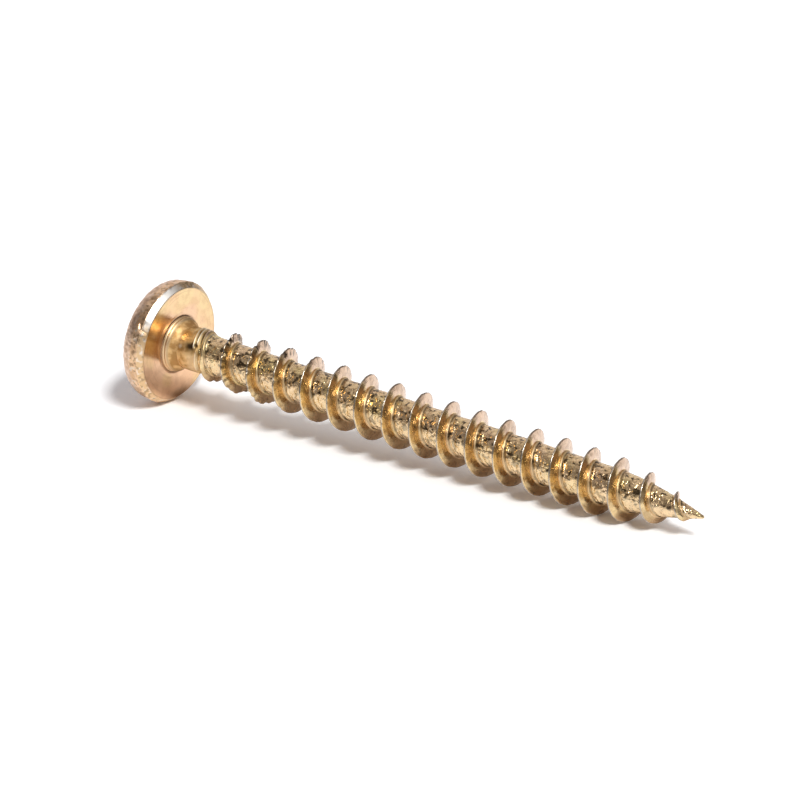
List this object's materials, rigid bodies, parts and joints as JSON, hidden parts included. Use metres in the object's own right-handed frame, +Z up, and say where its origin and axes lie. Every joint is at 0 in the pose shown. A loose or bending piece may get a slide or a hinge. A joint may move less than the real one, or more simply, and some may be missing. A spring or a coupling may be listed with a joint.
{
  "type": "pan head screw",
  "caption": "Pan head wood screw of yellow zinc plated steel with a coarse thread along its whole shank, a short plain neck, a collar under the head and a sharp point.",
  "frame": {"origin": "on the floor under the middle of the bounding box of the screw as it lies at rest", "axes": "+X the way the point lies, +Z up; the screw's axis dips towards the point by 3.51 degrees"},
  "size_m": [0.0533, 0.01, 0.01],
  "materials": {
    "yellow_zinc": "yellow zinc plated, satin"
  },
  "bodies": {
    "root": {"screw": "yellow_zinc"}
  },
  "joints": []
}
